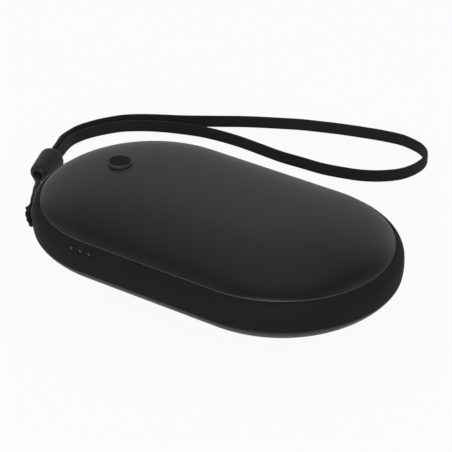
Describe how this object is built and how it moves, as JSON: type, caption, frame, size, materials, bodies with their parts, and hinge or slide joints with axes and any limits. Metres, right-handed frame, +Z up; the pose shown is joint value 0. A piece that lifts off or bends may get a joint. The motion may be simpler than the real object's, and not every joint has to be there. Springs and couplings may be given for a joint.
{
  "type": "rechargeable hand warmer",
  "caption": "Palm-sized electric hand warmer with two heated metal shells on a plastic belt, a power button, charge lights, a USB-C port and a webbing wrist strap.",
  "frame": {"origin": "centre of the flat foot under the body, on the surface the body rests on", "axes": "+X towards the plain end of the body, -X towards the port and lanyard end, -Y towards the charge lights, +Z up"},
  "size_m": [0.1381, 0.1293, 0.0262],
  "materials": {
    "shell_coat": "satin soft-touch coat on aluminium",
    "belt_plastic": "fine matte",
    "seal_rubber": "plain",
    "plain_steel": "plain plated",
    "pale_plastic": "moulded",
    "board_mask": "solder mask",
    "chip_resin": "moulded resin",
    "ceramic_tan": "fired ceramic",
    "clear_plastic": "clear",
    "cell_sleeve": "shrunk film",
    "heater_film": "polyimide film",
    "foam_black": "closed-cell foam",
    "lead_red": "silicone jacket",
    "lead_yellow": "silicone jacket",
    "ferrule_metal": "satin",
    "strap_fabric": "woven polyester"
  },
  "bodies": {
    "warmer": {"top_shell": "shell_coat", "bottom_shell": "shell_coat", "side_band": "belt_plastic", "top_seal": "seal_rubber", "bottom_seal": "seal_rubber", "port_panel": "belt_plastic", "lanyard_pin": "plain_steel", "tact_switch": "belt_plastic", "main_board": "board_mask", "usb_socket": "plain_steel", "usb_tongue": "belt_plastic", "control_chips": "chip_resin", "boost_coil": "chip_resin", "capacitors": "ceramic_tan", "lead_sockets": "pale_plastic", "light_chips": "pale_plastic", "light_guide": "clear_plastic", "battery_cell_1": "plain_steel", "battery_cell_2": "plain_steel", "cell_sleeves": "cell_sleeve", "cell_tabs": "plain_steel", "cell_cradle": "pale_plastic", "cell_clamp": "pale_plastic", "heater_top": "heater_film", "heater_bottom": "heater_film", "foam_top": "foam_black", "foam_bottom": "foam_black", "thermistors": "chip_resin", "battery_leads": "lead_red", "heater_leads": "lead_yellow", "holder_screws": "plain_steel", "board_screws": "plain_steel", "strap_ferrule": "ferrule_metal", "wrist_strap": "strap_fabric", "lanyard_cord": "strap_fabric", "lanyard_knot": "strap_fabric"},
    "button": {"power_button": "belt_plastic", "tact_plunger": "pale_plastic"}
  },
  "joints": [
    {"name": "button_press", "type": "slide", "parent": "warmer", "child": "button", "axis": [0, 0, -1], "range_m": [0, 0.0004], "stiffness_N_per_m": 5000}
  ]
}
